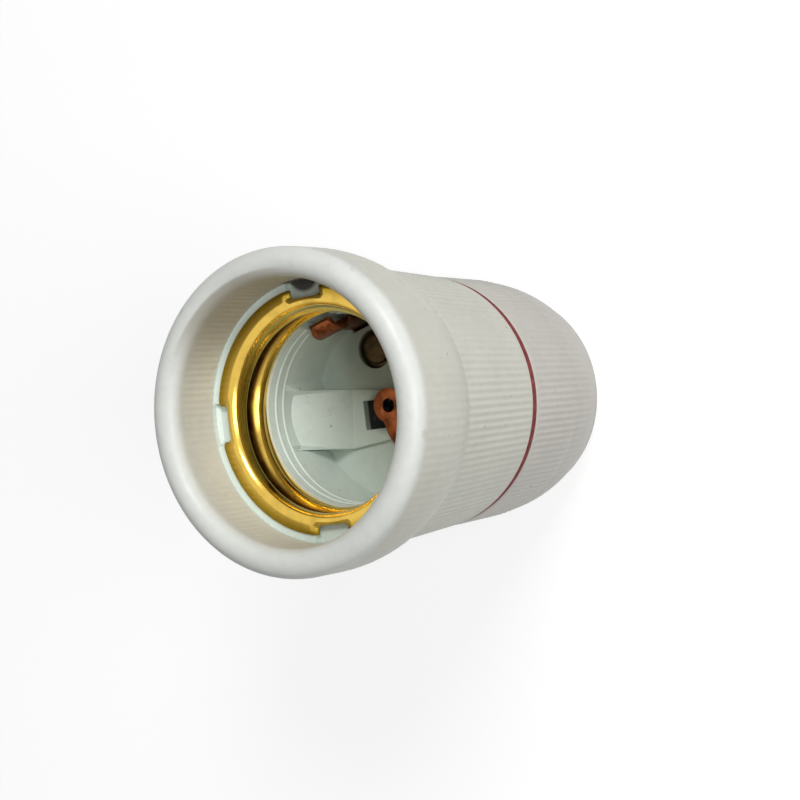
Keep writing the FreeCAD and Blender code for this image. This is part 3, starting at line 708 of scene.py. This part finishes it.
# screw shell: thin rolled brass with a round thread and four drawn notches in its lip

shellLook = {
    "pitch": 3.629 * mm, "wave": 1.05 * mm, "root": 13.35 * mm, "sheet": 0.33 * mm, "lip": 15.5 * mm,
    "bend": 1.35 * mm, "crestTurn": 179.5 / 360, "crestBelowLip": 5.2 * mm,
    "endRadius": 12.6 * mm,
    "rows": 34, "columns": 480, "lipRoll": 0.14 * mm,
    "notches": 4, "notchWidth": 4.6 * mm, "notchReach": 1.35 * mm, "notchCorner": 0.6 * mm,
    "notchRoll": 0.9 * mm, "notchDrop": 0.45 * mm,
}


def shellProfile(look, top, bottom):
    # inner face from the lip down as (radius, z, thread share), then back up the outer face
    middle = look["root"] - look["wave"] / 2
    bend = look["bend"]
    start = middle + bend
    lip, roll = look["lip"], look["lipRoll"]
    inner = [(lip, top - roll, 0), (lip - 0.15 * mm, top - 0.3 * roll, 0)]
    for i in range(7):
        inner.append((lip - 0.4 * mm + (start - lip + 0.4 * mm) * i / 6, top, 0))
    for i in range(1, 9):
        angle = math.radians(11.25 * i)
        share = 0.15 * (i / 8) ** 2
        radius = start - bend * math.sin(angle) + look["wave"] / 2 * share
        inner.append((radius, top - bend * (1 - math.cos(angle)), share))
    drop = top - bend - bottom
    for i in range(1, look["rows"] + 1):
        down = i / look["rows"]
        share = min(1.0, 0.15 + 3.5 * down, (1 - down) * 9.0)
        lean = (look["endRadius"] - middle) * max(0.0, 1 - (1 - down) * 9.0)
        inner.append((middle + lean + look["wave"] / 2 * share, top - bend - drop * down, share))
    outer = []
    for i in range(len(inner) - 1, -1, -1):
        before, after = inner[max(0, i - 1)], inner[min(len(inner) - 1, i + 1)]
        dr, dz = after[0] - before[0], after[1] - before[1]
        length = math.hypot(dr, dz)
        radius, z, share = inner[i]
        outer.append((radius - look["sheet"] * dz / length, z + look["sheet"] * dr / length, share))
    profile = inner + outer + [inner[0]]
    return [(radius, z, 0, share) for radius, z, share in profile]


def notchCutters(look, top):
    # rounded blocks that take the notches out of the lip
    def build(work):
        half, corner = look["notchWidth"] / 2, look["notchCorner"]
        inner, outer = look["lip"] - look["notchReach"], look["lip"] + 1.0 * mm
        middle = inner + corner
        for k in range(look["notches"]):
            ring = [(outer, -half), (outer, half)]
            for start, side in ((math.pi / 2, half - corner), (math.pi, corner - half)):
                for i in range(7):
                    angle = start + math.pi / 2 * i / 6
                    ring.append((middle + corner * math.cos(angle), side + corner * math.sin(angle)))
            turn = Matrix.Rotation(2 * math.pi * k / look["notches"], 4, "Z")
            low = [work.verts.new(turn @ Vector((x, y, top - 1.5 * mm))) for x, y in ring]
            high = [work.verts.new(turn @ Vector((x, y, top + 1.0 * mm))) for x, y in ring]
            work.faces.new(low)
            work.faces.new(high)
            for i in range(len(ring)):
                j = (i + 1) % len(ring)
                work.faces.new((low[i], low[j], high[j], high[i]))
        outward(work)

    return newObject("notchCutters", edited(bpy.data.meshes.new("notchCutters"), build))


def rollNotchEdges(mesh, look, top):
    # beside each notch the lip is drawn down a little
    quarter = 2 * math.pi / look["notches"]
    for vertex in mesh.vertices:
        x, y, z = vertex.co
        radius = math.hypot(x, y)
        reach = min(1.0, max(0.0, (radius - 13.7 * mm) / (0.8 * mm)))
        if reach == 0 or z < top - 1.2 * mm:
            continue
        turn = (math.atan2(y, x) + quarter / 2) % quarter - quarter / 2
        beside = abs(turn) * radius - look["notchWidth"] / 2
        near = min(1.0, max(0.0, 1 - beside / look["notchRoll"]))
        vertex.co.z = z - look["notchDrop"] * near * near * reach


def screwShell():
    look = shellLook
    low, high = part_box("screw_shell")
    crest = high.z - look["crestBelowLip"]
    shell = turnedPart("screwShell", shellProfile(look, high.z, low.z), "shell_brass", look["columns"], **{
        "Thread Pitch": look["pitch"], "Thread Depth": look["wave"], "Thread Roundness": 1.0,
        "Thread Start": crest - look["pitch"] * (0.5 + look["crestTurn"])})
    rollNotchEdges(shell.data, look, high.z)
    cutters = notchCutters(look, high.z)
    cut = shell.modifiers.new("notches", "BOOLEAN")
    cut.operation = "DIFFERENCE"
    cut.solver = "EXACT"
    cut.object = cutters
    plainMesh(shell)
    bpy.data.objects.remove(cutters)
    smoothed(shell.data, 50)
    return finished(shell, "shell_brass", "front", "screw_shell")


screwShell()
print("screw shell ready")


# gasket: a punched fibre ring with slightly soft edges

def gasket():
    low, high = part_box("gasket_ring")
    outer, bore, soft = high.x, 14.9 * mm, 0.14 * mm
    profile = run((bore, low.z, 0, 0), (outer - soft, low.z, 0, 0), 3)
    profile += [(outer, low.z + soft, 0, 0), (outer + 0.02 * mm, (low.z + high.z) / 2, 0, 0),
                (outer, high.z - soft, 0, 0)]
    profile += run((outer - soft, high.z, 0, 0), (bore, high.z, 0, 0), 3)
    profile += [profile[0]]
    ring = turnedPart("gasketRing", profile, "gasket_fibre", 240)
    smoothed(ring.data, 50)
    return finished(ring, "gasket_fibre", "gasket", "gasket_ring")


gasket()


# cable entry: threaded bush, its locknut and the toothed washer

entryLook = {
    "pitch": 1.0 * mm, "cut": 0.3 * mm, "rowsPerPitch": 7, "flats": 17.0 * mm, "chamfer": 0.35 * mm,
    "bore": 4.459 * mm, "barrel": 6.5 * mm, "flange": 3.0 * mm, "nutBore": 6.53 * mm,
}


def threadRun(radius, start, end, pitch, rows, sign, runOut=0.8 * mm):
    # rows down a thread; the groove fades in and out at the ends
    count = max(2, int(abs(end - start) / pitch * rows))
    points = []
    for i in range(count + 1):
        z = start + (end - start) * i / count
        fade = min(1.0, abs(z - start) / runOut, abs(z - end) / runOut)
        points.append((radius, z, 0, sign * fade))
    return points


def entryBush():
    look = entryLook
    low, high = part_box("entry_bush")
    bore, barrel, edge = look["bore"], look["barrel"], look["chamfer"]
    flange = high.z - look["flange"]
    half = look["flats"] / 2
    corner = half / math.cos(math.pi / 6)
    profile = [(bore + 0.3 * mm, high.z, 0, 0), (half, high.z, 0, 0), (corner, high.z - edge, 0, 0),
               (corner, flange + edge / 2, 0, 0), (corner - edge / 2, flange, 0, 0), (barrel, flange, 0, 0)]
    pitch, rows = look["pitch"], look["rowsPerPitch"]
    profile += threadRun(barrel, flange - 0.05 * mm, low.z + 0.3 * mm, pitch, rows, 1)
    profile += [(barrel - 0.3 * mm, low.z, 0, 0), (bore + 0.3 * mm, low.z, 0, 0)]
    profile += threadRun(bore, low.z + 0.3 * mm, high.z - 0.3 * mm, pitch, rows, -1)
    profile += [profile[0]]
    bush = turnedPart("entryBush", profile, "entry_steel", 96, **{
        "Thread Pitch": pitch, "Thread Depth": look["cut"], "Across Flats": look["flats"]})
    smoothed(bush.data, 32)
    return finished(bush, "entry_steel", "cap", "entry_bush")


def entryLocknut():
    look = entryLook
    low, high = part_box("entry_locknut")
    bore, edge = look["nutBore"], look["chamfer"]
    half = look["flats"] / 2
    corner = half / math.cos(math.pi / 6)
    profile = [(bore, high.z, 0, 0), (half, high.z, 0, 0), (corner, high.z - edge, 0, 0),
               (corner, low.z + edge, 0, 0), (half, low.z, 0, 0), (bore + 0.25 * mm, low.z, 0, 0)]
    profile += run((bore, low.z + 0.25 * mm, 0, 0), (bore, high.z, 0, 0), 4)
    nut = turnedPart("entryLocknut", profile, "entry_steel", 96, **{"Across Flats": look["flats"]})
    smoothed(nut.data, 32)
    return finished(nut, "entry_steel", "cap", "entry_locknut")


entryBush()
entryLocknut()
print("cable entry ready")


# contacts, rivets and terminals: the CAD pieces with rounded edges

slotOf = {row["node"]: row["material_slot"] for row in frame["record"]["subparts"]}
bodyOf = {node: body for body, group in frame["record"]["behaviour"]["bodies"].items() for node in group}
smallEdges = {
    "centre_contact": 0.07 * mm, "side_contact": 0.07 * mm,
    "centre_rivet": 0.08 * mm, "side_rivet": 0.08 * mm, "side_rivet_washer": 0.06 * mm,
    "centre_terminal_plate": 0.10 * mm, "side_terminal_plate": 0.10 * mm,
    "centre_clamp_plate": 0.10 * mm, "side_clamp_plate": 0.10 * mm, "lock_washer": 0.06 * mm,
}


def pieceName(nodeName):
    first, *rest = nodeName.split("_")
    return first + "".join(word.capitalize() for word in rest)


for nodeName, edge in smallEdges.items():
    piece = bevelled(copiedNode(pieceName(nodeName), nodeName), edge)
    finished(piece, slotOf[nodeName], bodyOf[nodeName], nodeName)


screwLook = {
    "pitch": 0.7 * mm, "cut": 0.3 * mm, "radius": 1.7 * mm, "headHeight": 2.0 * mm, "edge": 0.12 * mm,
    "point": 0.35 * mm,
}


def terminalScrew(nodeName):
    look = screwLook
    low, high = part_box(nodeName)
    middle = (low + high) / 2
    under = low.z + look["headHeight"]
    head = copiedNode("head", nodeName)

    def dropShank(work):
        everything = work.verts[:] + work.edges[:] + work.faces[:]
        cut = bmesh.ops.bisect_plane(work, geom=everything, dist=0.001 * mm,
                                     plane_co=(0, 0, under + 0.02 * mm), plane_no=(0, 0, 1), clear_outer=True)
        rim = [e for e in cut["geom_cut"] if isinstance(e, bmesh.types.BMEdge)]
        bmesh.ops.holes_fill(work, edges=rim)

    edited(head.data, dropShank)
    bevelled(head, look["edge"])
    radius, point = look["radius"], look["point"]
    profile = [(0, under - 0.1 * mm, 0, 0), (radius, under - 0.1 * mm, 0, 0)]
    profile += threadRun(radius, under, high.z - point, look["pitch"], 7, 1, 0.5 * mm)
    profile += [(radius - point, high.z, 0, 0), (0, high.z, 0, 0), (0, under - 0.1 * mm, 0, 0)]
    shank = turnedPart("shank", profile, slotOf[nodeName], 48, **{
        "Thread Pitch": look["pitch"], "Thread Depth": look["cut"]})
    shank.data.transform(Matrix.Translation((middle.x, middle.y, 0)))
    screw = joined(pieceName(nodeName), head, shank)
    smoothed(screw.data, 40)
    return finished(screw, slotOf[nodeName], bodyOf[nodeName], nodeName)


terminalScrew("centre_terminal_screw")
terminalScrew("side_terminal_screw")
print("contacts and terminals ready")


# stage

stageLook = {
    "floorSize": 3.0, "white": 1.0, "worldLight": 0.16,
    "floorColour": (0.6, 0.6, 0.6, 1), "shownColour": (0.3, 0.3, 0.3, 1), "shownGlow": 0.78,
}


def seenDirectly(tree):
    path = addNode(tree, "ShaderNodeLightPath")
    seen = maths(tree, "MAXIMUM", path.outputs["Is Camera Ray"], path.outputs["Is Glossy Ray"])
    seen = maths(tree, "MAXIMUM", seen, path.outputs["Is Transmission Ray"])
    return seen


def buildFloor():
    mesh = bpy.data.meshes.new("floor")
    half = stageLook["floorSize"] / 2
    corners = [(-half, -half, 0), (half, -half, 0), (half, half, 0), (-half, half, 0)]
    mesh.from_pydata(corners, [], [(0, 1, 2, 3)])
    floor = newObject("floor", mesh)
    material = newMaterial("paleFloor")
    tree = material.node_tree
    seen = seenDirectly(tree)
    grey = mixColour(tree, seen, stageLook["floorColour"], stageLook["shownColour"])
    diffuse = addNode(tree, "ShaderNodeBsdfDiffuse", {0: grey})
    glow = addNode(tree, "ShaderNodeEmission", {1: maths(tree, "MULTIPLY", seen, stageLook["shownGlow"])})
    both = addNode(tree, "ShaderNodeAddShader", {0: diffuse.outputs[0], 1: glow.outputs[0]})
    addNode(tree, "ShaderNodeOutputMaterial", {"Surface": both.outputs[0]})
    mesh.materials.append(material)


def buildWorld():
    world = bpy.data.worlds.new("studio")
    bpy.context.scene.world = world
    world.use_nodes = True
    tree = world.node_tree
    tree.nodes.clear()
    seen = seenDirectly(tree)
    strength = maths(tree, "ADD", maths(tree, "MULTIPLY", seen, stageLook["white"] - stageLook["worldLight"]),
                     stageLook["worldLight"])
    back = addNode(tree, "ShaderNodeBackground", {"Color": (1, 1, 1, 1), "Strength": strength})
    addNode(tree, "ShaderNodeOutputWorld", {"Surface": back.outputs[0]})


cameraSet = {"place": (0.12937, -0.00757, 0.22852), "turn": (-2.669, 32.942, -8.5), "lens": 81.0}


def buildCamera():
    data = bpy.data.cameras.new("camera")
    data.lens = cameraSet["lens"]
    data.sensor_width = 36.0
    data.clip_start = 0.01
    data.clip_end = 20.0
    camera = bpy.data.objects.new("camera", data)
    camera.location = cameraSet["place"]
    camera.rotation_euler = [math.radians(a) for a in cameraSet["turn"]]
    bpy.context.scene.collection.objects.link(camera)
    bpy.context.scene.camera = camera


lampSet = {
    "key": {"from": (0.25, 0.298, 0.445), "size": 0.18, "power": 1.62},
    "side": {"from": (0.46, -0.05, 0.38), "size": 0.30, "power": 1.72},
}


def buildLamps():
    target = Vector((0, 0, height / 2))
    for name, lamp in lampSet.items():
        data = bpy.data.lights.new(name, "AREA")
        data.shape = "SQUARE"
        data.size = lamp["size"]
        data.energy = lamp["power"]
        light = bpy.data.objects.new(name, data)
        light.location = lamp["from"]
        light.rotation_euler = (target - Vector(lamp["from"])).to_track_quat("-Z", "Y").to_euler()
        bpy.context.scene.collection.objects.link(light)


buildFloor()
buildWorld()
buildCamera()
buildLamps()
bpy.context.scene.view_settings.view_transform = "Standard"
print("stage ready")
